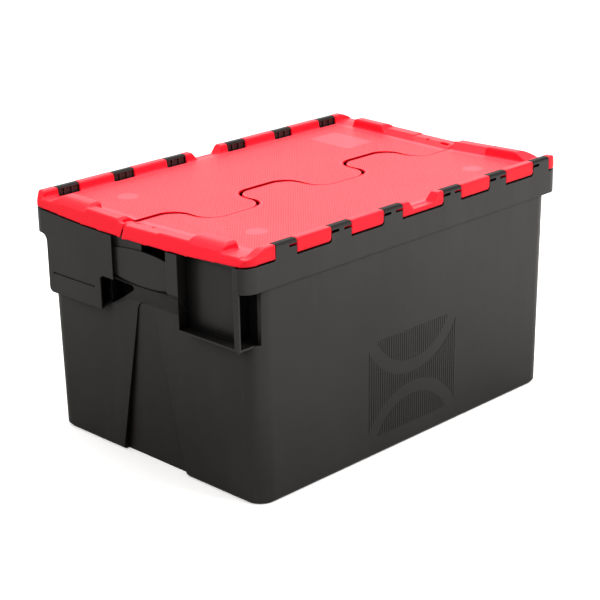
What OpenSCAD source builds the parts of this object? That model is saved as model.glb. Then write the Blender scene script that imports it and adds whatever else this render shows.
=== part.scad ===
// Attached lid tote: an open container with two hinged lid halves that meet in
// an interlocking seam. Origin at the centre of the base, long side along X.

/* [Overall] */
// Length over the ends of the lids
outer_l = 600; // [596:1:606]
// Width over the two hinge sides
outer_w = 400; // [396:1:406]
// Height with both lids shut
outer_h = 330; // [300:1:380]
// Corner radius of the rim and the lids
rim_r = 19; // [14:1:20]

/* [Tub] */
// Length of the tub at its base
base_l = 560; // [550:1:562]
// Width of the tub at its base
base_w = 390; // [384:1:392]
// Length of the tub just under the rim
top_l = 566; // [562:1:568]
// Width of the tub just under the rim
top_w = 396; // [393:1:397]
// Corner radius of the tub
tub_r = 25; // [20:1:30]
// Wall thickness of the tub
wall = 2.6; // [2:0.1:3]
// Thickness of the floor
floor_t = 3; // [2.5:0.5:4]

/* [Hinges] */
// Diameter of the pins moulded on the lids
pin_d = 4; // [3.6:0.1:4.4]
// Clearance between a pin and its socket, on radius
pin_clearance = 0.05; // [0.03:0.01:0.08]
// Width of a knuckle on the container
knuckle_w = 34.5; // [33:0.5:36]
// Distance between neighbouring knuckles
knuckle_pitch = 94; // [92:1:96]
// Half the distance between the two middle knuckles
middle_pitch = 57.25; // [56:0.25:60]
// Offset of the front row of knuckles along the side
front_shift = 13.5; // [0:0.5:14]
// Offset of the rear row of knuckles along the side
rear_shift = 2; // [0:0.5:14]
// Depth of the socket in each end of a knuckle
socket_l = 13; // [12.5:0.5:14]
// Length of the long pin on one end of a hinge block
long_pin = 12; // [8:0.5:12]
// Length of the short pin on the other end
short_pin = 6; // [4:0.5:8]

/* [Lids] */
// Thickness of the lid sheet
lid_t = 2.8; // [2.4:0.1:3.2]
// Slope of a shut lid down towards the middle, in degrees
droop = 1.3; // [0.8:0.1:1.5]
// Half the depth of the interlocking tongues
seam_depth = 33; // [32:1:36]
// Radius of the turns in the seam
seam_r = 26; // [18:1:27]
// Gap between the two lids
seam_gap = 2; // [1.6:0.2:3]
// Extra radius that opens the gap at the outer turns
turn_relief = 4; // [0:0.5:5]

/* [End frame] */
// Height of the window above the base of the grip, from the top
grip_window_drop = 42.5; // [40:0.5:44]
// Depth from the top to the lower edge of the grip
grip_drop = 81; // [74:1:88]
// Depth from the top to the bottom of the closed wing
wing_drop = 130; // [120:1:135]
// Depth from the top to the floor of the open pocket
pocket_drop = 121; // [115:1:125]

/* [Hidden] */
$fn = 48;
eps = 0.01;

black = [0.16, 0.15, 0.14];
red = [0.93, 0.13, 0.2];

half_l = outer_l / 2;
half_w = outer_w / 2;

// The hinge axis lies 5 mm in from the side and 7 mm below the top.
pin_in = 5;
hinge_y = half_w - pin_in;
pin_drop = 7;
axis_z = outer_h - pin_drop;
pin_r = pin_d / 2;
socket_r = pin_r + pin_clearance;

// Heights in the hinge frame, where 0 is the pin axis.
skirt_low = -11;
plate_top = -4;
plate_low = plate_top - lid_t;
rim_level = -13.5;

// The lower edge of a lid end dips between these distances from the hinge.
flange_low = -12;
flange_dip = 3;
flange_y0 = 12;
flange_y1 = 100;
rebate_x = half_l - 4;

rim_z = axis_z + rim_level;
band_z = outer_h - 52;
grip_z = outer_h - grip_drop;
grip_window_z = outer_h - grip_window_drop;
wing_z = outer_h - wing_drop;
pocket_z = outer_h - pocket_drop;
web_z = outer_h - 29;
skin = 2.6;
side_gap = 0.6;

function knuckles(shift) = [for (s = [-1, 1], i = [0:2]) shift + s * (middle_pitch + i * knuckle_pitch)];

function arc(cx, cy, r, from, to, steps) =
    [for (i = [0:steps]) let (a = from + (to - from) * i / steps) [cx + r * cos(a), cy + r * sin(a)]];

module rounded_rect(l, w, r) {
    square([l - 2 * r, w], center = true);
    square([l, w - 2 * r], center = true);
    for (sx = [-1, 1], sy = [-1, 1])
        translate([sx * (l / 2 - r), sy * (w / 2 - r)]) circle(r);
}

// A box between two opposite corners.
module span(low, high) {
    translate(low) cube(high - low);
}

// Draws an XZ outline from y0 to y1.
module along_y(y0, y1) {
    translate([0, y1, 0]) rotate([90, 0, 0]) linear_extrude(y1 - y0) children();
}

// Draws a YZ outline from x0 to x1.
module along_x(x0, x1) {
    translate([x0, 0, 0]) rotate([90, 0, 90]) linear_extrude(x1 - x0) children();
}

// Moves into the frame of the front hinge, tilted with a shut lid.
module at_hinge() {
    translate([0, -hinge_y, axis_z]) rotate([-droop, 0, 0]) children();
}

module both_ways() {
    for (turn = [0, 180]) rotate(turn) children();
}

// ---------------------------------------------------------------- container

edge_inset = 3.5;
edge_rise = 4;

module tub_section(z, inset) {
    k = z / rim_z;
    l = base_l + (top_l - base_l) * k - 2 * inset;
    w = base_w + (top_w - base_w) * k - 2 * inset;
    translate([0, 0, z]) linear_extrude(eps) rounded_rect(l, w, tub_r - inset, $fn = 64);
}

module tub_outside() {
    hull() {
        tub_section(0, edge_inset);
        tub_section(edge_rise, 0);
        tub_section(rim_z, 0);
    }
}

cove = 8;

module tub_inside() {
    hull() {
        tub_section(floor_t, wall + cove);
        tub_section(floor_t + cove, wall);
        tub_section(outer_h, wall);
    }
}

// Rim: a band on the outside and a web that joins it to the tub.
shelf_in = 13;

module rim_solid() {
    translate([0, 0, web_z]) linear_extrude(outer_h - web_z) rounded_rect(outer_l, outer_w, rim_r);
    translate([0, 0, band_z]) linear_extrude(outer_h - band_z) difference() {
        rounded_rect(outer_l, outer_w, rim_r);
        rounded_rect(outer_l - 2 * skin, outer_w - 2 * skin, rim_r - skin);
    }
}

// Everything above the sloping top of the rim.
module above_rim() {
    both_ways() at_hinge() {
        span([-outer_l, -2 * pin_in, rim_level], [outer_l, hinge_y + 2, outer_h]);
        // the outer edge of each end drops further, to clear the lid flange
        for (x = [-half_l - 1, rebate_x])
            along_x(x, x + half_l + 1 - rebate_x) polygon([
                [-pin_in - 1, rim_level],
                [flange_y0, rim_level],
                [flange_y1, rim_level - flange_dip],
                [hinge_y + 2, rim_level - flange_dip],
                [hinge_y + 2, outer_h],
                [-pin_in - 1, outer_h]
            ]);
    }
}

// End frame, drawn at the -X end.
wing_y0 = 66;
wing_y1 = 172;
panel_y0 = -62;
panel_y1 = 40;
pillar_y0 = -82;
pier_y1 = 8;
post_y0 = -187.5;
post_y1 = -179;
post_z = pocket_z - 5;
pier_low_z = grip_z - 31;
grip_back = 262;
pocket_back = 282;
// The corner of the tub behind the post is open, with a deep cavity.
corner_cut = 270;
corner_back = 260;
corner_cut_y = -165;
corner_skin_y = -187.5;
flange_shadow = 286;
tub_face = top_l / 2 - 1;
panel_inset = 4.5;
window_inset = 6;
window_arch = 4.5;
window_w = 51;
grip_sag = 4;
wing_fillet = 10;

// The wing has a front, an outer side and a floor that slopes up to the tub.
module wing_outline(t) {
    polygon([
        [-half_l + t, wing_z + 1.4 * t],
        [-tub_face + 2, wing_z + 6 + 1.4 * t],
        [-tub_face + 2, rim_z],
        [-half_l + t, rim_z]
    ]);
}

wing_corner_r = 7;

module end_outside() {
    difference() {
        along_y(wing_y0, wing_y1) wing_outline(0);
        along_x(-half_l - 1, -tub_face) translate([wing_y1 - wing_corner_r, wing_z - 1]) difference() {
            square([wing_corner_r + 1, wing_corner_r + 1]);
            translate([0, wing_corner_r + 1]) circle(wing_corner_r);
        }
    }
    // web that rounds the band into the outer edge of the wing
    along_x(-half_l, -tub_face) difference() {
        translate([wing_y1 - 1, band_z - wing_fillet]) square([wing_fillet + 1, wing_fillet + 1]);
        translate([wing_y1 + wing_fillet, band_z - wing_fillet]) circle(wing_fillet);
    }
    // grip and the pier that runs down into the tub
    along_y(pillar_y0, wing_y0) polygon([
        [-half_l, rim_z],
        [-half_l, grip_z + 2],
        [-half_l + panel_inset, grip_z - grip_sag],
        [-tub_face, pier_low_z],
        [-tub_face + 2, wing_z + 4],
        [-grip_back + wall, wing_z],
        [-grip_back + wall, rim_z]
    ]);
    // flush piece between the grip and the wing
    span([-half_l, panel_y1, grip_z - 6], [-half_l + panel_inset + 2, wing_y0 + eps, grip_z + 3]);
    // open pocket: floor, back and post
    span([-half_l, post_y1, pocket_z - wall], [-pocket_back + wall, pillar_y0 + eps, rim_z]);
    span([-half_l, post_y0, pocket_z - wall], [-half_l + skin, post_y1 + eps, rim_z]);
    span([-half_l + skin - eps, post_y0, pocket_z - wall], [-corner_back, corner_cut_y, pocket_z]);
    along_x(-half_l, -half_l + skin) polygon([
        [post_y1 + 8, pocket_z],
        [post_y1 - 7, post_z],
        [post_y0, pocket_z + 3],
        [post_y1, pocket_z + 3]
    ]);
}

// A lens of the grip panel between two heights, bowed by sag at its middle.
module panel_outline(low, low_sag, high, high_sag) {
    mid = (panel_y0 + panel_y1) / 2;
    half = (panel_y1 - panel_y0) / 2;
    n = 12;
    polygon(concat(
        [for (i = [0:n]) let (t = 2 * i / n - 1) [mid + half * t, low - low_sag * (1 - t * t)]],
        [for (i = [n:-1:0]) let (t = 2 * i / n - 1) [mid + half * t, high + high_sag * (1 - t * t)]]
    ));
}

module end_hollows() {
    // hand space behind the grip
    along_y(pillar_y0 + skin, wing_y0) polygon([
        [-half_l + panel_inset + skin, web_z],
        [-half_l + panel_inset + skin + 1, grip_z - grip_sag],
        [-tub_face + skin, pier_low_z],
        [-tub_face + skin + 2, wing_z + 8],
        [-grip_back, wing_z + 4],
        [-grip_back, web_z]
    ]);
    span([-half_l + skin, panel_y1 + skin, grip_z], [-grip_back, wing_y0, web_z]);
    span([-half_l + skin, pillar_y0 + skin, grip_z + 4], [-grip_back, panel_y0 - skin, web_z]);
    // wing
    intersection() {
        along_y(wing_y0 - eps, wing_y1 - skin) wing_outline(skin);
        span([-half_l, wing_y0 - 1, 0], [-tub_face, wing_y1, web_z]);
    }
    // opening under the grip
    along_x(-half_l - 1, -grip_back - 1) polygon(concat(
        [[pier_y1 + 2, grip_z - 5], [pier_y1, grip_z - 8], [pier_y1 + 3, grip_z - 13], [wing_y0, wing_z + 4]],
        arc(wing_y0 - 8, grip_z - 11, 8, 0, 90, 6)
    ));
    // grip panel, the groove along its lower edge and the label window above it
    along_x(-half_l - 1, -half_l + panel_inset) panel_outline(grip_z, grip_sag, outer_h, 0);
    along_x(-half_l - 1, -half_l + panel_inset + 1.2) difference() {
        panel_outline(grip_z, grip_sag, web_z, 0);
        panel_outline(grip_z + 2.2, grip_sag, web_z + 1, 0);
    }
    along_x(-half_l - 1, -half_l + window_inset) panel_outline(grip_window_z, -window_arch, outer_h, 0);
    along_x(-half_l - 1, -grip_back - 1) intersection() {
        panel_outline(grip_window_z, -window_arch, web_z - 1, 0);
        translate([panel_y0, 0]) square([window_w, outer_h]);
    }
    span([-half_l - 1, panel_y0, web_z - 2], [-flange_shadow, panel_y0 + window_w, outer_h]);
    // pocket
    span([-half_l - 1, post_y1, pocket_z], [-pocket_back, pillar_y0, web_z]);
    span([-half_l - 1, post_y1, web_z - 1], [-flange_shadow, pillar_y0, outer_h]);
    // opening round the corner, and the cavity behind it
    span([-half_l + skin, -half_w - 1, pocket_z], [-corner_cut, corner_cut_y, band_z]);
    span([-half_l - 1, -half_w - 1, pocket_z], [-corner_cut, post_y0, band_z]);
    span([-corner_cut - 1, corner_skin_y, pocket_z], [-corner_back, corner_cut_y, band_z]);
    // line across the wing
    span([-half_l - 1, wing_y0 + 11, wing_z + 26.6], [-half_l + 1.2, wing_y1 - 10, wing_z + 28.8]);
}

// Slots for a cable seal, through the web under each pair of lid holes.
seal_x = 275;
seal_slot = [5, 15];
seal_hole_d = 5;

module seal_cut(grow) {
    translate([-seal_x, 16.5]) hull_free_slot(seal_slot[0] + grow, seal_slot[1] + grow);
    translate([-seal_x - 1, -16]) circle(d = seal_hole_d + grow);
}

module hull_free_slot(w, l) {
    square([w, l - w], center = true);
    for (s = [-1, 1]) translate([0, s * (l - w) / 2]) circle(d = w);
}

// Tapered groove that guides one tub into another.
groove_top = 220;
groove_half = 62;
groove_depth = 9;
groove_top_depth = 2;
groove_tip = 17;

module groove(grow) {
    intersection() {
        along_x(-half_l, -half_l / 2) {
            polygon([
                [-groove_half - grow, -1],
                [groove_half + grow, -1],
                [groove_tip + grow, groove_top - groove_tip],
                [-groove_tip - grow, groove_top - groove_tip]
            ]);
            translate([0, groove_top - groove_tip]) circle(groove_tip + grow);
        }
        along_y(-half_w, half_w) polygon([
            [-half_l, -1],
            [-base_l / 2 + groove_depth + grow, -1],
            [-top_l / 2 + groove_top_depth + grow, groove_top + grow],
            [-half_l, groove_top + grow]
        ]);
    }
}

// Fine upright ribs on the long side, crossed by two smooth bands: arcs about
// a point above the ribs and a point below them.
ribs_x = 85;
ribs_z0 = 26;
ribs_z1 = 157;
rib_pitch = 4.2;
rib_h = 0.4;
arc_high = 194;
arc_low = -13;
arc_r0 = 79;
arc_r1 = 97;
side_lean = atan((top_w - base_w) / 2 / rim_z);

module side_ribs() {
    translate([0, -base_w / 2, 0]) rotate([side_lean, 0, 0]) difference() {
        for (x = [-ribs_x:rib_pitch:ribs_x])
            span([x, -rib_h, ribs_z0], [x + rib_pitch / 2, 0.2, ribs_z1]);
        for (z = [arc_low, arc_high]) translate([0, 1, z]) rotate([90, 0, 0]) difference() {
            cylinder(r = arc_r1, h = 3);
            translate([0, 0, -1]) cylinder(r = arc_r0, h = 5);
        }
    }
}

// One knuckle with its foot on the rim, drawn in the hinge frame.
knuckle_in = 7;
knuckle_round = 3;

module knuckle_outline() {
    difference() {
        translate([-pin_in, rim_level - 8]) square([pin_in + knuckle_in, pin_drop - rim_level + 8]);
        translate([knuckle_in - knuckle_round, pin_drop - knuckle_round]) difference() {
            square(knuckle_round + 1);
            circle(knuckle_round);
        }
        translate([-pin_in, pin_drop]) difference() {
            translate([-1, -4]) square(5);
            translate([4, -4]) circle(4);
        }
    }
}

foot_r = 5;

module knuckle(x, left, right) {
    half = knuckle_w / 2;
    translate([x, -hinge_y, axis_z]) difference() {
        union() {
            along_x(-half, half) knuckle_outline();
            // rounded foot that matches the rounded corner of the lid skirt
            along_y(-pin_in, -pin_in + skin) translate([-half, rim_level]) difference() {
                translate([-foot_r, -1]) square([foot_r + 1, foot_r + 1]);
                translate([-foot_r, foot_r]) circle(foot_r);
            }
        }
        // hollows between the ribs on the inner face
        for (c = [-12.2, 0, 12.2])
            span([c - 4.6, knuckle_in - 1.6, rim_level + 3], [c + 4.6, knuckle_in + 1, pin_drop - 3]);
        // sockets, open to the outside so that the pins snap in
        if (left) socket(-half - eps);
        if (right) socket(half + eps - socket_l);
    }
}

module socket(x) {
    translate([x, 0, 0]) rotate([0, 90, 0]) cylinder(r = socket_r, h = socket_l);
    span([x, -pin_in - 1, -pin_r + 0.2], [x + socket_l, 0, pin_r - 0.2]);
}

module hinge_side(shift) {
    centres = knuckles(shift);
    for (x = centres)
        knuckle(x, x > min(centres), x < max(centres));
}

// Upright lip that a shut lid rests over, at each end.
lip_x = 288;
lip_t = 2.5;
lip_y0 = 45;
lip_y1 = hinge_y - 14;

module end_lip() {
    for (y = [-lip_y1, lip_y0])
        intersection() {
            span([-lip_x - lip_t, y, web_z], [-lip_x, y + lip_y1 - lip_y0, outer_h]);
            both_ways() at_hinge()
                span([-outer_l, 0, -outer_h], [outer_l, hinge_y, plate_low - 1]);
        }
}

module container() {
    color(black) {
        difference() {
            union() {
                difference() {
                    union() {
                        tub_outside();
                        rim_solid();
                        both_ways() end_outside();
                    }
                    above_rim();
                }
                both_ways() side_ribs();
                both_ways() end_lip();
            }
            both_ways() end_hollows();
            both_ways() groove(0);
            difference() {
                tub_inside();
                both_ways() {
                    along_y(pillar_y0, wing_y0 + skin) polygon([
                        [-half_l, wing_z],
                        [-tub_face + 4, wing_z - 14],
                        [-grip_back + wall, wing_z + 4],
                        [-grip_back + wall, outer_h],
                        [-half_l, outer_h]
                    ]);
                    span([-half_l, post_y1 - 1, pocket_z - wall], [-pocket_back + wall, pillar_y0 + 1, outer_h]);
                    span([-half_l, -half_w, pocket_z - wall], [-corner_back + wall, corner_cut_y + wall, band_z + wall]);
                    groove(wall);
                    span([-half_l, half_w - shelf_in, rim_z - 6], [half_l, half_w, outer_h]);
                }
            }
            both_ways() translate([0, 0, web_z - 1]) linear_extrude(outer_h) seal_cut(1);
        }
        hinge_side(front_shift);
        rotate(180) hinge_side(rear_shift);
    }
}

// ---------------------------------------------------------------- lids

// The seam steps sideways where it crosses the outer face of each end.
jog = 11;
jog_x = 285;

// Edge of the front lid along the seam, from -X to +X, in the hinge frame.
// A tongue corner is rounder than the notch that it sits in.
function seam_edge(g) =
    let (
        hi = hinge_y + seam_depth - g,
        lo = hinge_y - seam_depth - g,
        rc = seam_r - g + turn_relief,
        rv = seam_r + g,
        p = outer_l / 6,
        n = 10
    )
    concat(
        [[-half_l, hi - jog], [-jog_x - 3, hi - jog], [-jog_x, hi]],
        [for (i = [-2:2]) let (c = i * p) each (i % 2 == 0
            ? concat(arc(c - g - rc, hi - rc, rc, 90, 0, n), arc(c - g + rv, lo + rv, rv, 180, 270, n))
            : concat(arc(c + g - rv, lo + rv, rv, 270, 360, n), arc(c + g + rc, hi - rc, rc, 180, 90, n)))],
        [[jog_x, lo], [jog_x + 3, lo + jog], [half_l, lo + jog]]
    );

// Everything that the front lid may cover, in plan.
module lid_plan() {
    intersection() {
        polygon(concat(seam_edge(seam_gap / 2), [[half_l, -pin_in], [-half_l, -pin_in]]));
        translate([0, hinge_y]) rounded_rect(outer_l, outer_w, rim_r);
    }
}

// Low bead along the seam, between the two ends.
bead_w = 2.2;
bead_h = 0.6;

module seam_bead() {
    translate([0, 0, plate_top - 1]) linear_extrude(1 + bead_h) intersection() {
        difference() {
            polygon(concat(seam_edge(seam_gap / 2), [[half_l, -pin_in], [-half_l, -pin_in]]));
            polygon(concat(seam_edge(seam_gap / 2 + bead_w), [[half_l, -pin_in], [-half_l, -pin_in]]));
        }
        translate([-ridge_in + 1, 0]) square([2 * ridge_in - 2, outer_w]);
    }
}

module lid_sheet(shift) {
    translate([0, 0, plate_low]) linear_extrude(lid_t) difference() {
        lid_plan();
        translate([-half_l + rim_r + 10, -pin_in - 1]) square([outer_l - 2 * rim_r - 20, pin_in + 7]);
        for (x = knuckles(shift))
            translate([x - knuckle_w / 2 - side_gap, -pin_in - 1]) square([knuckle_w + 2 * side_gap, pin_in + 11]);
    }
}

// The end of the lid: an outer face that leans in, a ridge, and a fall to the
// sheet. rise is the height of the ridge over the sheet. A nub has a steep
// inner wall; the lower stretches fall gently.
ridge_in = 266;
slope_in = 274;
slope_foot = 263;
ridge_r = 3;
nub_r = 21;
// How far the outer face leans in for each mm of height.
face_lean = 0.44;
face_angle = atan(face_lean);
face_low = flange_low - flange_dip;

function face_x(z) = half_l - 0.2 - face_lean * (z - face_low);

module end_profile(rise, steep) {
    top = plate_top + rise;
    outer_r = steep ? nub_r : ridge_r;
    inner_x = steep ? ridge_in : slope_in;
    foot = steep ? ridge_in - 1.5 : slope_foot;
    polygon(concat(
        [[half_l, face_low], [half_l, plate_low]],
        arc(face_x(top - outer_r) - outer_r / cos(face_angle), top - outer_r, outer_r, face_angle, 90, 6),
        arc(inner_x + ridge_r, top - ridge_r, ridge_r, 90, steep ? 170 : 115, 6),
        [[foot, plate_top], [foot - 1, plate_top - 0.4], [foot - 1, plate_low + 0.5]],
        [[face_x(plate_low) - skin, plate_low + 0.5], [half_l - skin - 1, face_low + 1.5], [half_l - skin, face_low]]
    ));
}

// Everything inside the leaning outer faces and above the lower edge.
module end_limits() {
    intersection() {
        along_y(-pin_in, hinge_y + seam_depth) polygon([
            for (s = [-1, 1], z = s < 0 ? [outer_h, -outer_h] : [-outer_h, outer_h])
                [s * face_x(z), z]
        ]);
        along_x(-half_l, half_l) polygon([
            [-pin_in, flange_low],
            [flange_y0, flange_low],
            [flange_y1, face_low],
            [hinge_y + seam_depth, face_low],
            [hinge_y + seam_depth, outer_h],
            [-pin_in, outer_h]
        ]);
    }
}

module end_run(y0, y1, rise, steep = false) {
    along_y(y0, y1) end_profile(rise, steep);
}

// A raised nub. The rises make up for the droop, so that all the nubs share
// the top plane of the tote.
nub_rise = 12;
rib_rise = 6.4;
tall_rib_rise = 8.5;
flat_rise = 4.8;
dip_rise = 2.5;
nub_y0 = 98;
nub_y1 = 152;
nub_ramp = 5;
nub_end = 2;
long_ramp = 19;
rib_y0 = 44;
end_y = 10.6;

// With a long ramp the end by the hinge falls gently and the other end is
// steep; without it the end by the hinge is steep and the other falls shortly.
module nub(long) {
    // these count from the hinge axis, while nub_y0 and nub_y1 count from the middle
    low = hinge_y - nub_y1;
    high = hinge_y - nub_y0;
    top = plate_top + nub_rise;
    foot = plate_top + flat_rise - 1;
    by_hinge = long
        ? concat(
            [[low - long_ramp - 2, face_low], [low - long_ramp, plate_top + 1]],
            arc(low + 4, top - 8, 8, 125, 90, 5)
        )
        : concat(
            [[low - nub_end - 4, face_low], [low - nub_end - 4, plate_top]],
            arc(low - nub_end - 4, plate_top + 4, 4, -90, -20, 5),
            arc(low - nub_end + 5.5, top - 5, 5, 170, 90, 6)
        );
    by_middle = long
        ? concat(arc(high - 4.5, top - 5, 5, 90, 10, 6), [[high + 1, foot], [high + 1, face_low]])
        : concat(arc(high - 3, top - 6, 6, 90, 40, 4), [[high + nub_ramp, foot], [high + nub_ramp + 2, face_low]]);
    intersection() {
        end_run(low - long_ramp - 2, high + nub_ramp + 2, nub_rise, true);
        along_x(0, half_l) polygon(concat(by_hinge, by_middle));
    }
}

// The lower ridge runs on from the nub. It ends short of the flat stretch, or
// in a rounded nose at the seam.
module low_rib(inner_y, rise) {
    low = hinge_y - nub_y0;
    high = hinge_y - inner_y;
    top = plate_top + rise;
    intersection() {
        end_run(low, high + 8, rise);
        along_x(0, half_l) polygon(concat(
            [[low, face_low], [low, top]],
            arc(high, top - 6, 6, 90, 30, 5),
            [[high + 8, plate_top + flat_rise - 1], [high + 8, face_low]]
        ));
    }
}

module end_features(inner_y, rise, long) {
    end_run(hinge_y - nub_y1 + 4, hinge_y + seam_depth, flat_rise);
    end_run(end_y, hinge_y - nub_y1 + 2, dip_rise);
    nub(long);
    low_rib(inner_y, rise);
}

// Flange that wraps each outer corner of the lid, a little thicker than the skin.
corner_t = 4;

module corner_flange() {
    translate([0, 0, flange_low + 0.5]) linear_extrude(plate_low - flange_low + 1) intersection() {
        difference() {
            translate([0, hinge_y]) rounded_rect(outer_l, outer_w, rim_r);
            translate([0, hinge_y]) rounded_rect(outer_l - 2 * corner_t, outer_w - 2 * corner_t, rim_r - corner_t);
        }
        union()
            for (s = [-1, 1]) translate([s * half_l, 0]) square([2 * rim_r + 2, 4 * rim_r], center = true);
    }
}

// Hinge block: an inverted channel with a web and a pin at each end.
block_in = 9.5;
top_t = 2.8;

module block_outline() {
    polygon(concat(
        [[block_in, plate_low], [block_in, plate_top], [block_in - 2, pin_drop - 1.5]],
        [[block_in - 3.5, pin_drop]],
        arc(-pin_in + 2.5, pin_drop - 2.5, 2.5, 90, 180, 5),
        [[-pin_in, skirt_low], [-pin_in + skin, skirt_low], [-pin_in + skin, plate_low]]
    ));
}

module block_hollow() {
    polygon([
        [-pin_in + skin, skirt_low - 1],
        [-pin_in + skin, pin_drop - top_t],
        [block_in - top_t - 1.5, pin_drop - top_t],
        [block_in - top_t, plate_top],
        [block_in - top_t, skirt_low - 1]
    ]);
}

module pin(x, length) {
    translate([x, 0, 0]) rotate([0, 90, 0]) cylinder(r = pin_r, h = length);
}

// Removes the lower outer corner of a skirt, leaving a round one.
module skirt_corner(x) {
    along_y(-pin_in - 1, -pin_in + skin + 0.1) difference() {
        translate([x - foot_r, skirt_low - 1]) square([foot_r + 1, foot_r + 1]);
        translate([x - foot_r, skirt_low + foot_r]) circle(foot_r);
    }
}

module hinge_block(x0, x1) {
    difference() {
        along_x(x0, x1) block_outline();
        along_x(x0 + skin, x1 - skin) block_hollow();
        skirt_corner(x1);
    }
    pin(x0 - long_pin, long_pin + 1);
    pin(x1 - 1, short_pin + 1);
}

// The middle block is scooped down to the sheet between two ears.
ear_top = 11;
ear_foot = 21;

module scoop(x0, x1) {
    along_y(-pin_in - 1, block_in + 4) polygon([
        [x0 + ear_foot, plate_top - 1],
        [x1 - ear_foot, plate_top - 1],
        [x1 - ear_top, pin_drop + 1],
        [x0 + ear_top, pin_drop + 1]
    ]);
}

module middle_block(x0, x1) {
    difference() {
        hinge_block(x0, x1);
        scoop(x0, x1);
    }
    // sloping walls that close the ears
    intersection() {
        along_x(x0, x1) block_outline();
        along_y(-pin_in - 1, block_in + 4) for (e = [[x0, 1], [x1, -1]]) polygon([
            [e[0] + e[1] * ear_foot, plate_top - 1],
            [e[0] + e[1] * ear_top, pin_drop + 1],
            [e[0] + e[1] * (ear_top - skin), pin_drop + 1],
            [e[0] + e[1] * (ear_foot - skin), plate_top - 1]
        ]);
    }
    intersection() {
        along_x(x0 + skin, x1 - skin) polygon([
            [-pin_in, skirt_low + 4],
            [-pin_in, plate_top - 1],
            [block_in + 1, plate_top - 1],
            [block_in + 1, plate_low],
            [-pin_in + skin, plate_low],
            [-pin_in + skin, skirt_low + 4]
        ]);
        along_y(-pin_in, block_in + 1) polygon([
            [x0 + ear_top, skirt_low],
            [x1 - ear_top, skirt_low],
            [x1 - ear_top, plate_top],
            [x0 + ear_top, plate_top]
        ]);
    }
}

// Corner block: falls in an S from the last knuckle to the end of the lid.
corner_top = 13;
corner_fall = 31;
corner_low = plate_top + 1;
corner_round = 5;

function s_curve(x0, z0, x1, z1, steps) =
    [for (i = [0:steps]) let (t = i / steps) [x0 + (x1 - x0) * t, z0 + (z1 - z0) * t * t * (3 - 2 * t)]];

// The block on the other side keeps its height up to a rounded end.
module corner_outline(x_knuckle, falls, drop, inset) {
    x0 = x_knuckle + corner_top;
    r = corner_round;
    polygon(concat(
        [[x_knuckle + inset, skirt_low - 1], [x_knuckle + inset, pin_drop - drop]],
        falls
            ? s_curve(x0, pin_drop - drop, x0 + corner_fall, corner_low - drop, 10)
            : arc(face_x(pin_drop) - r - drop, pin_drop - r - drop, r, 90, 20, 6),
        falls ? [[half_l - drop, corner_low - drop - 1.5]] : [],
        [[half_l - drop, skirt_low - 1]]
    ));
}

module corner_block(x_knuckle, falls) {
    difference() {
        intersection() {
            along_y(-pin_in, block_in + 3) corner_outline(x_knuckle, falls, 0, 0);
            union() {
                along_x(0, half_l) block_outline();
                span([0, 0, plate_low], [half_l, block_in + 3, plate_top]);
            }
            translate([0, 0, -outer_h / 2]) linear_extrude(outer_h)
                translate([0, hinge_y]) rounded_rect(outer_l, outer_w, rim_r);
        }
        intersection() {
            along_y(-pin_in, block_in + 3) corner_outline(x_knuckle, falls, top_t, skin);
            along_x(0, half_l) block_hollow();
        }
    }
}

module hinge_blocks(shift) {
    k = knuckles(shift);
    edge = knuckle_w / 2 + side_gap;
    // ascending knuckle centres
    c = [k[2], k[1], k[0], k[3], k[4], k[5]];
    for (i = [0, 1, 3, 4])
        hinge_block(c[i] + edge, c[i + 1] - edge);
    middle_block(c[2] + edge, c[3] - edge);
    mirror([1, 0, 0]) corner_block(edge - c[0], true);
    corner_block(c[5] + edge, false);
}

// Stiffening ribs under the sheet.
under_rib = 5;

module under_ribs() {
    for (x = [-240:60:240])
        span([x - 1, 18, plate_low - under_rib], [x + 1, hinge_y - seam_depth - 12, plate_low + eps]);
    for (y = [18, 90, hinge_y - seam_depth - 14])
        span([-241, y, plate_low - under_rib], [241, y + 2, plate_low + eps]);
}

module lid_half(shift) {
    at_hinge() difference() {
        union() {
            intersection() {
                end_limits();
                union() {
                    lid_sheet(shift);
                    hinge_blocks(shift);
                    intersection() {
                        translate([0, 0, -outer_h / 2]) linear_extrude(outer_h) lid_plan();
                        union() {
                            mirror([1, 0, 0]) end_features(rib_y0, rib_rise, false);
                            end_features(rib_y0 - 5, tall_rib_rise, true);
                            corner_flange();
                        }
                    }
                }
            }
            seam_bead();
            under_ribs();
        }
        translate([0, 0, plate_low - 1]) linear_extrude(outer_h) seal_holes();
    }
}

// Lid holes over the seal slots, only on the part of the end that this lid owns.
module seal_holes() {
    translate([0, hinge_y]) both_ways() seal_cut(0);
}

module front_lid() {
    color(red) lid_half(front_shift);
}

module rear_lid() {
    color(red) rotate(180) lid_half(rear_shift);
}

container();
front_lid();
rear_lid();
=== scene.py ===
"""Looks for the attached lid tote: soft moulded lid skins, two plastics, a pale floor and studio light."""
import bpy
import bmesh
from math import radians, sin, cos, pi
from mathutils import Vector, Matrix


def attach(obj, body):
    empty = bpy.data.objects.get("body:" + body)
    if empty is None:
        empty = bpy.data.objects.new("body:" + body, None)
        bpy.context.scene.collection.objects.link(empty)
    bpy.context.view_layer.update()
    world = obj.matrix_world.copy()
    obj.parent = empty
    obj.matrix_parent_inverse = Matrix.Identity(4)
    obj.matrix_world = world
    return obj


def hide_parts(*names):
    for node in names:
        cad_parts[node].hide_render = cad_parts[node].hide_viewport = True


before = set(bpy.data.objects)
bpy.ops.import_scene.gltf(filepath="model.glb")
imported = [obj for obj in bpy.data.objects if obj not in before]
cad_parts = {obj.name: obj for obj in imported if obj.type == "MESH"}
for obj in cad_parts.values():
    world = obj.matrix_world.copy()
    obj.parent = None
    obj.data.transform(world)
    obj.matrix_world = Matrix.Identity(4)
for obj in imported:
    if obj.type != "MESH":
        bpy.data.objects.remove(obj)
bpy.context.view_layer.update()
scene = bpy.context.scene

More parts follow.
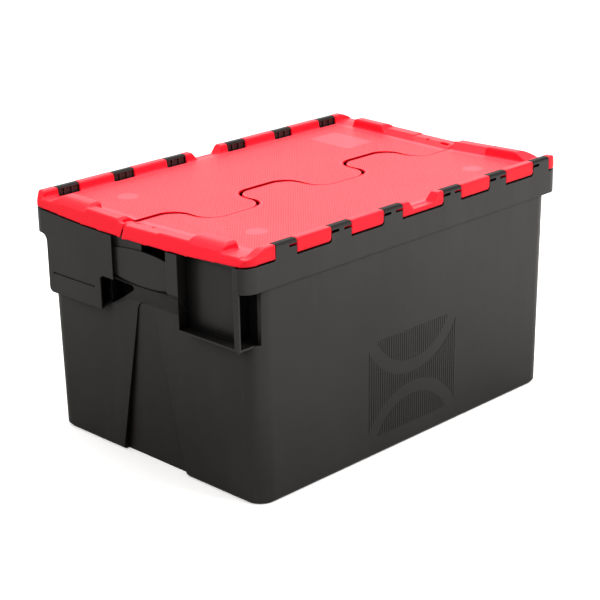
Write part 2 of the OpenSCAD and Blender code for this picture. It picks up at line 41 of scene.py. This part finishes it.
MM = 0.001
IMAGE_PX = 600
SENSOR = 36

# the lid skins: size of the voxels, rounds of smoothing, share of the faces kept
LID_VOXEL = 0.9 * MM
LID_ROUNDS = 4
LID_KEEP = 0.2

# the seam crosses from one side to the other at every step, with round turns
SEAM_STEP = 100 * MM
SEAM_LAST = 2.0
SEAM_DEPTH = 33 * MM
SEAM_R = 27 * MM

# the lids' top, all measured from the middle: half sizes of areas, centres of small marks
SHEET_HALF = (264 * MM, 190 * MM)
PIPPED_HALF = (254 * MM, 180 * MM)
GROOVE_HALF = (268 * MM, 60 * MM)
SMOOTH_DISCS = ((196 * MM, -131 * MM), (-199 * MM, -116 * MM), (-203 * MM, 121 * MM))
SMOOTH_DISC_R = 14 * MM
SMOOTH_PANEL = (195 * MM, 113 * MM, 27 * MM, 38 * MM)
GATES = ((-114 * MM, -85 * MM), (-210 * MM, -79 * MM))
GATE_R = 2.5 * MM
PIP_PITCH = 4.4 * MM
UNDER_RIB_HALF_PITCH = 30 * MM

# edges and recesses
BLACK_EDGE = 1.3 * MM
RED_EDGE = 0.9 * MM
RECESS_REACH = 45 * MM
GRAIN_SCALE = 2600
GRAIN_HEIGHT = 0.05 * MM
PLASTIC_IOR = 1.5


# ---------------------------------------------------------------- node helpers
class Nodes:
    """A short way to write a material's node tree."""

    def __init__(self, name):
        self.material = bpy.data.materials.new(name)
        self.material.use_nodes = True
        self.tree = self.material.node_tree
        self.tree.nodes.clear()

    def put(self, socket, value):
        if isinstance(value, bpy.types.NodeSocket):
            self.tree.links.new(value, socket)
        else:
            socket.default_value = value

    def add(self, kind, inputs=(), **settings):
        n = self.tree.nodes.new(kind)
        for k, v in settings.items():
            setattr(n, k, v)
        for k, v in dict(inputs).items():
            self.put(n.inputs[k], v)
        return n

    def math(self, operation, a, b=0.0):
        n = self.add("ShaderNodeMath", operation=operation)
        for socket, value in zip(n.inputs[:2], (a, b)):
            self.put(socket, value)
        return n.outputs[0]

    def step(self, value, low, high, out_low=0.0, out_high=1.0):
        n = self.add("ShaderNodeMapRange", interpolation_type="SMOOTHSTEP")
        for socket, v in zip(n.inputs[:5], (value, low, high, out_low, out_high)):
            self.put(socket, v)
        return n.outputs[0]

    def noise(self, vector, scale, detail=3.0, rough=0.5, stretch=(1, 1, 1)):
        m = self.add("ShaderNodeMapping", {"Vector": vector, "Scale": stretch})
        n = self.add("ShaderNodeTexNoise",
                     {"Vector": m.outputs[0], "Scale": scale, "Detail": detail, "Roughness": rough})
        return n.outputs["Fac"]

    def mix(self, factor, a, b):
        n = self.add("ShaderNodeMix", data_type="RGBA")
        self.put(n.inputs["Factor"], factor)
        self.put(n.inputs[6], a)
        self.put(n.inputs[7], b)
        return n.outputs[2]

    def bump(self, height, distance, strength=1.0, normal=None):
        n = self.add("ShaderNodeBump", {"Height": height, "Distance": distance, "Strength": strength})
        if normal is not None:
            self.put(n.inputs["Normal"], normal)
        return n.outputs[0]

    def finish(self, **inputs):
        shader = self.add("ShaderNodeBsdfPrincipled")
        for k, v in inputs.items():
            self.put(shader.inputs[k.replace("_", " ")], v)
        out = self.add("ShaderNodeOutputMaterial")
        self.tree.links.new(shader.outputs[0], out.inputs[0])
        return self.material


def edge_wear(n, radius, samples=6):
    """(softened normal, mask that is 1 on convex edges)."""
    bevel = n.add("ShaderNodeBevel", {"Radius": radius}, samples=samples).outputs[0]
    geo = n.add("ShaderNodeNewGeometry")
    dot = n.add("ShaderNodeVectorMath", {0: bevel, 1: geo.outputs["Normal"]}, operation="DOT_PRODUCT")
    return bevel, n.step(dot.outputs["Value"], 0.995, 0.9)


def recess(n, distance, samples=6):
    """1 in the open, falling to 0 deep inside the piece's own pockets and gaps; the mask for painted recess shade.
    """
    ao = n.add("ShaderNodeAmbientOcclusion", {"Distance": distance}, samples=samples, only_local=True)
    return n.step(ao.outputs["AO"], 0.45, 0.96)


def black_plastic(name):
    n = Nodes(name)
    coord = n.add("ShaderNodeTexCoord").outputs
    at = coord["Object"]
    up = n.add("ShaderNodeSeparateXYZ", {0: coord["Normal"]}).outputs[2]
    soft, edge = edge_wear(n, BLACK_EDGE)
    broad = n.noise(at, 5, 4)
    streak = n.noise(at, 9, 5, 0.6, (5, 5, 0.6))
    scuff = n.noise(at, 60, 6, 0.7, (1, 1, 0.25))
    grain = n.noise(at, GRAIN_SCALE, 2, 0.6)
    tone = n.mix(n.step(broad, 0.35, 0.7), (0.0125, 0.0112, 0.0100, 1), (0.0185, 0.0168, 0.0150, 1))
    dusty = n.math("MULTIPLY", n.step(streak, 0.52, 0.75), 0.35)
    tone = n.mix(dusty, tone, (0.030, 0.029, 0.027, 1))
    worn = n.math("MULTIPLY", edge, n.step(scuff, 0.42, 0.62, 0.25, 0.9))
    tone = n.mix(n.math("MULTIPLY", worn, 0.5), tone, (0.055, 0.053, 0.050, 1))
    rough = n.math("ADD", n.step(streak, 0.3, 0.75, 0.30, 0.42), n.math("MULTIPLY", n.step(scuff, 0.5, 0.8), 0.08))
    # painted shade: recesses are painted near black from an AO mask and their reflection is cut; up-facing faces
    # such as the knuckle tops get weaker reflection, a painted darkening of the tops
    outside_recess_shade = recess(n, RECESS_REACH)
    shine = n.math("MULTIPLY", n.step(up, 0.1, 0.7, 0.5, 0.07), n.step(outside_recess_shade, 0.0, 0.9, 0.12, 1.0))
    tone = n.mix(outside_recess_shade, (0.004, 0.004, 0.004, 1), tone)
    normal = n.bump(grain, GRAIN_HEIGHT, 0.35, soft)
    normal = n.bump(n.noise(at, 14, 3), 0.5 * MM, 0.25, normal)
    return n.finish(Base_Color=tone, Roughness=rough, Normal=normal, IOR=PLASTIC_IOR, Specular_IOR_Level=shine)


def seam_distance(n, x, y):
    """Distance from the seam, which runs at +-SEAM_DEPTH and crosses at every SEAM_STEP with round turns."""
    # c is the number of the nearest crossing; u and v are measured from the centre of its round turn
    c = n.math("ROUND", n.math("DIVIDE", x, SEAM_STEP))
    c = n.math("MINIMUM", n.math("MAXIMUM", c, -SEAM_LAST), SEAM_LAST)
    turn = n.math("MULTIPLY", n.math("COSINE", n.math("MULTIPLY", c, pi)), n.math("SIGN", y))
    u = n.math("MULTIPLY", n.math("SUBTRACT", x, n.math("MULTIPLY", c, SEAM_STEP)), turn)
    u = n.math("ADD", u, SEAM_R)
    v = n.math("ADD", n.math("ABSOLUTE", y), SEAM_R - SEAM_DEPTH)
    round_part = n.math("SQRT", n.math("ADD", n.math("POWER", n.math("MAXIMUM", u, 0.0), 2.0),
                                       n.math("POWER", n.math("MAXIMUM", v, 0.0), 2.0)))
    flat_part = n.math("MINIMUM", n.math("MAXIMUM", u, v), 0.0)
    return n.math("ABSOLUTE", n.math("SUBTRACT", n.math("ADD", round_part, flat_part), SEAM_R))


def largest(n, values):
    """The greatest of several values."""
    top = values[0]
    for v in values[1:]:
        top = n.math("MAXIMUM", top, v)
    return top


def disc(n, x, y, cx, cy, r, soft=0.4 * MM):
    """1 inside a circle of radius r about (cx, cy)."""
    dx = n.math("POWER", n.math("ABSOLUTE", n.math("SUBTRACT", x, cx)), 2.0)
    dy = n.math("POWER", n.math("ABSOLUTE", n.math("SUBTRACT", y, cy)), 2.0)
    return n.step(n.math("SQRT", n.math("ADD", dx, dy)), r - soft, r + soft, 1.0, 0.0)


def panel(n, x, y, cx, cy, half_x, half_y, soft=0.4 * MM):
    """1 inside a rectangle about (cx, cy)."""
    dx = n.math("SUBTRACT", n.math("ABSOLUTE", n.math("SUBTRACT", x, cx)), half_x)
    dy = n.math("SUBTRACT", n.math("ABSOLUTE", n.math("SUBTRACT", y, cy)), half_y)
    return n.step(n.math("MAXIMUM", dx, dy), -soft, soft, 1.0, 0.0)


def red_plastic(name):
    n = Nodes(name)
    tex = n.add("ShaderNodeTexCoord").outputs
    coord = tex["Object"]
    x, y, _ = n.add("ShaderNodeSeparateXYZ", {0: coord}).outputs
    up = n.add("ShaderNodeSeparateXYZ", {0: tex["Normal"]}).outputs[2]
    soft, edge = edge_wear(n, RED_EDGE)
    broad = n.noise(coord, 6, 4)
    scuff = n.noise(coord, 90, 6, 0.7, (0.4, 1, 1))
    grain = n.noise(coord, GRAIN_SCALE, 2, 0.6)
    tone = n.mix(n.step(broad, 0.3, 0.7), (0.90, 0.002, 0.016, 1), (0.96, 0.003, 0.022, 1))
    # painted sheen: faces that point up, most of all the sheet, are painted a paler red, standing in for the
    # bright room reflected on the top
    pale = n.mix(n.step(broad, 0.3, 0.7), (0.90, 0.050, 0.078, 1), (0.96, 0.060, 0.088, 1))
    sheet = panel(n, x, y, 0, 0, *SHEET_HALF, 2 * MM)
    top = n.math("MULTIPLY", n.step(up, 0.95, 0.995), n.math("ADD", 0.35, n.math("MULTIPLY", sheet, 0.65)))
    tone = n.mix(top, tone, pale)
    worn = n.math("MULTIPLY", edge, n.step(scuff, 0.45, 0.65, 0.1, 0.7))
    tone = n.mix(n.math("MULTIPLY", worn, 0.35), tone, (0.95, 0.12, 0.14, 1))

    # small raised pips on the sheet, except near the seam, the edges and the smooth marks; pip tops are painted
    # lighter as a painted highlight, the ground between them darker as painted shade
    seam = seam_distance(n, x, y)
    flat = n.math("MULTIPLY", n.step(up, 0.985, 0.995), panel(n, x, y, 0, 0, *PIPPED_HALF, 2 * MM))
    marks = [disc(n, x, y, cx, cy, SMOOTH_DISC_R) for cx, cy in SMOOTH_DISCS]
    smooth = largest(n, marks + [panel(n, x, y, *SMOOTH_PANEL)])
    pipped = n.math("MULTIPLY", flat, n.step(seam, 5 * MM, 6.5 * MM))
    pipped = n.math("MULTIPLY", pipped, n.math("SUBTRACT", 1.0, smooth))
    wave_x = n.math("COSINE", n.math("MULTIPLY", x, 2 * pi / PIP_PITCH))
    wave_y = n.math("COSINE", n.math("MULTIPLY", y, 2 * pi / PIP_PITCH))
    pip = n.math("MULTIPLY", n.step(n.math("MULTIPLY", wave_x, wave_y), -0.2, 0.9), pipped)
    tone = n.mix(n.math("MULTIPLY", pip, 0.7), tone, (1.0, 0.13, 0.16, 1))
    tone = n.mix(n.math("MULTIPLY", n.math("SUBTRACT", pipped, pip), 0.8), tone, (0.86, 0.002, 0.012, 1))

    # painted shadow: a deep red line along the seam, darker inside the gap, stands in for the shade down in the
    # seam channel
    seam_shadow = n.math("MULTIPLY", n.step(seam, 2.7 * MM, 4.0 * MM, 0.95, 0.0), panel(n, x, y, 0, 0, *GROOVE_HALF))
    tone = n.mix(seam_shadow, tone, (0.82, 0.0, 0.010, 1))
    gap = n.math("MULTIPLY", n.step(seam, 1.1 * MM, 2.0 * MM, 0.8, 0.0), seam_shadow)
    tone = n.mix(gap, tone, (0.25, 0.0, 0.003, 1))

    # a bead along the seam, faint sink lines over the ribs underneath, and the moulding gates
    bead = n.math("MULTIPLY", n.step(seam, 5.4 * MM, 4.6 * MM), n.step(up, 0.9, 0.98))
    across = n.math("SUBTRACT", n.math("ABSOLUTE", y), 40 * MM)
    over_rib = n.step(n.math("PINGPONG", x, UNDER_RIB_HALF_PITCH), 0.6 * MM, 2 * MM, 1.0, 0.0)
    over_rib = n.math("MULTIPLY", over_rib, n.step(across, 8 * MM, 10 * MM))
    sink = n.math("MULTIPLY", over_rib, flat)
    gates = largest(n, [disc(n, x, y, cx, cy, GATE_R, 1 * MM) for cx, cy in GATES])
    # reflection is cut in the painted seam shadow
    shine_outside_seam_shadow = n.math("SUBTRACT", 1.0, n.math("MULTIPLY", seam_shadow, 0.9))
    shine = n.math("MULTIPLY", n.step(up, 0.9, 0.99, 0.26, 0.5), shine_outside_seam_shadow)
    rough = n.math("ADD", n.step(broad, 0.3, 0.75, 0.36, 0.42), n.math("MULTIPLY", pipped, 0.06))
    normal = n.bump(grain, GRAIN_HEIGHT, 0.3, soft)
    normal = n.bump(n.noise(coord, 9, 2), 0.5 * MM, 0.2, normal)
    normal = n.bump(n.math("SUBTRACT", bead, n.math("MULTIPLY", sink, 0.25)), 0.4 * MM, 0.8, normal)
    normal = n.bump(n.math("MAXIMUM", pip, n.math("MULTIPLY", gates, 1.6)), 0.4 * MM, 1.0, normal)
    return n.finish(Base_Color=tone, Roughness=rough, Normal=normal, IOR=PLASTIC_IOR, Specular_IOR_Level=shine)


# ---------------------------------------------------------------- lid skins
def apply_modifiers(obj):
    """Works the object's modifiers into its mesh and removes them."""
    deps = bpy.context.evaluated_depsgraph_get()
    made = bpy.data.meshes.new_from_object(obj.evaluated_get(deps))
    obj.modifiers.clear()
    old = obj.data
    obj.data = made
    bpy.data.meshes.remove(old)


def soft_skin(node, name):
    """A copy of a CAD node with every edge softened, as moulded plastic has."""
    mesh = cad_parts[node].data.copy()
    bm = bmesh.new()
    bm.from_mesh(mesh)
    bmesh.ops.remove_doubles(bm, verts=bm.verts, dist=1e-6)
    bm.to_mesh(mesh)
    bm.free()
    obj = bpy.data.objects.new(name, mesh)
    scene.collection.objects.link(obj)
    remesh = obj.modifiers.new("remesh", "REMESH")
    remesh.mode = "VOXEL"
    remesh.voxel_size = LID_VOXEL
    smooth = obj.modifiers.new("smooth", "SMOOTH")
    smooth.factor = 0.5
    smooth.iterations = LID_ROUNDS
    apply_modifiers(obj)
    return obj


def lid_skin(node, name):
    """The visible lid: it rides on its CAD node and takes its place."""
    obj = soft_skin(node, name)
    decimate = obj.modifiers.new("decimate", "DECIMATE")
    decimate.ratio = LID_KEEP
    apply_modifiers(obj)
    for p in obj.data.polygons:
        p.use_smooth = True
    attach(obj, node)
    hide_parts(node)
    return obj


black = black_plastic("black_plastic")
red = red_plastic("red_plastic")
for name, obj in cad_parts.items():
    obj.data.materials.clear()
    obj.data.materials.append(black if name == "container" else red)
for node in ("front_lid", "rear_lid"):
    skin = lid_skin(node, node + "_skin")
    skin.data.materials.clear()
    skin.data.materials.append(red)
    print("skin", node, len(skin.data.vertices), len(skin.data.polygons))


# ---------------------------------------------------------------- camera
def look(azimuth, elevation, distance, target, focal_px, roll):
    """A camera that looks at the target; angles in degrees, the roll in radians."""
    a, e = radians(azimuth), radians(elevation)
    back = Vector((sin(a) * cos(e), -cos(a) * cos(e), sin(e)))
    data = bpy.data.cameras.new("camera")
    cam = bpy.data.objects.new("camera", data)
    scene.collection.objects.link(cam)
    data.sensor_width = SENSOR
    data.lens = focal_px / IMAGE_PX * SENSOR
    cam.location = Vector(target) + back * distance
    turn = back.to_track_quat("Z", "Y").to_matrix() @ Matrix.Rotation(roll, 3, "Z")
    cam.rotation_euler = turn.to_euler()
    scene.camera = cam


look(azimuth=-45.184, elevation=19.608, distance=2.2264, target=(-0.0525, -0.0424, 0.1723),
     focal_px=1676, roll=-0.018)


# ---------------------------------------------------------------- floor and light
def floor():
    """White to the camera; to reflections and bounce light it is painted greyer near the tote and on one side, a
    painted shade on the tote's lower faces.
    """
    mesh = bpy.data.meshes.new("floor")
    half = 8
    mesh.from_pydata([(-half, -half, 0), (half, -half, 0), (half, half, 0), (-half, half, 0)], [], [(0, 1, 2, 3)])
    obj = bpy.data.objects.new("floor", mesh)
    scene.collection.objects.link(obj)
    n = Nodes("floor_white")
    coord = n.add("ShaderNodeTexCoord").outputs["Object"]
    away = n.add("ShaderNodeVectorMath", {0: coord}, operation="LENGTH").outputs["Value"]
    tone = n.mix(n.noise(coord, 3), (0.93, 0.92, 0.90, 1), (0.95, 0.94, 0.93, 1))
    seen = n.add("ShaderNodeBsdfDiffuse", {"Color": tone})
    glow = n.add("ShaderNodeEmission", {"Color": (1, 1, 1, 1), "Strength": 0.32})
    seen = n.add("ShaderNodeAddShader", {0: seen.outputs[0], 1: glow.outputs[0]})
    x, y, _ = n.add("ShaderNodeSeparateXYZ", {0: coord}).outputs
    left = n.step(n.math("SUBTRACT", y, x), -0.2, 0.6, 1.12, 0.6)
    painted_reflection_grey = n.math("MULTIPLY", n.step(away, 0.3, 1.3, 0.34, 0.66), left)
    painted_shade_floor = n.add("ShaderNodeBsdfDiffuse", {"Color": n.mix(painted_reflection_grey, (0, 0, 0, 1), (1, 0.98, 0.95, 1))})
    path = n.add("ShaderNodeLightPath").outputs["Is Camera Ray"]
    both = n.add("ShaderNodeMixShader", {0: path, 1: painted_shade_floor.outputs[0], 2: seen.outputs[0]})
    out = n.add("ShaderNodeOutputMaterial")
    n.tree.links.new(both.outputs[0], out.inputs[0])
    mesh.materials.append(n.material)


def studio_world():
    """A pale room: bright behind the tote, dim on the camera's side."""
    world = bpy.data.worlds.new("studio")
    scene.world = world
    world.use_nodes = True
    tree = world.node_tree
    back = tree.nodes["Background"]
    coord = tree.nodes.new("ShaderNodeTexCoord")
    dot = tree.nodes.new("ShaderNodeVectorMath")
    dot.operation = "DOT_PRODUCT"
    bright_way = (0.69, 0.66, 0.30)
    dot.inputs[1].default_value = bright_way
    ramp = tree.nodes.new("ShaderNodeMapRange")
    dim, bright = 0.22, 1.15
    for socket, v in zip(ramp.inputs[1:5], (-0.35, 0.6, dim, bright)):
        socket.default_value = v
    tree.links.new(coord.outputs["Generated"], dot.inputs[0])
    tree.links.new(dot.outputs["Value"], ramp.inputs[0])
    tree.links.new(ramp.outputs[0], back.inputs["Strength"])
    back.inputs["Color"].default_value = (1, 1, 1, 1)


def area(name, place, aim, size, watts):
    """A soft rectangular lamp at a place, turned to the aim."""
    data = bpy.data.lights.new(name, "AREA")
    data.shape = "RECTANGLE"
    data.size, data.size_y = size
    data.energy = watts
    obj = bpy.data.objects.new(name, data)
    scene.collection.objects.link(obj)
    obj.location = place
    obj.rotation_euler = (Vector(place) - Vector(aim)).to_track_quat("Z", "Y").to_euler()


floor()
studio_world()
area("key", place=(0.9, -2.0, 2.6), aim=(0, 0, 0.2), size=(1.4, 1.4), watts=72)
area("fill", place=(-2.4, -0.2, 1.9), aim=(0, 0, 0.2), size=(1.4, 1.4), watts=34)
area("top", place=(0.1, 0.3, 2.8), aim=(0, 0, 0.3), size=(2.2, 2.2), watts=30)
scene.view_settings.view_transform = "Standard"
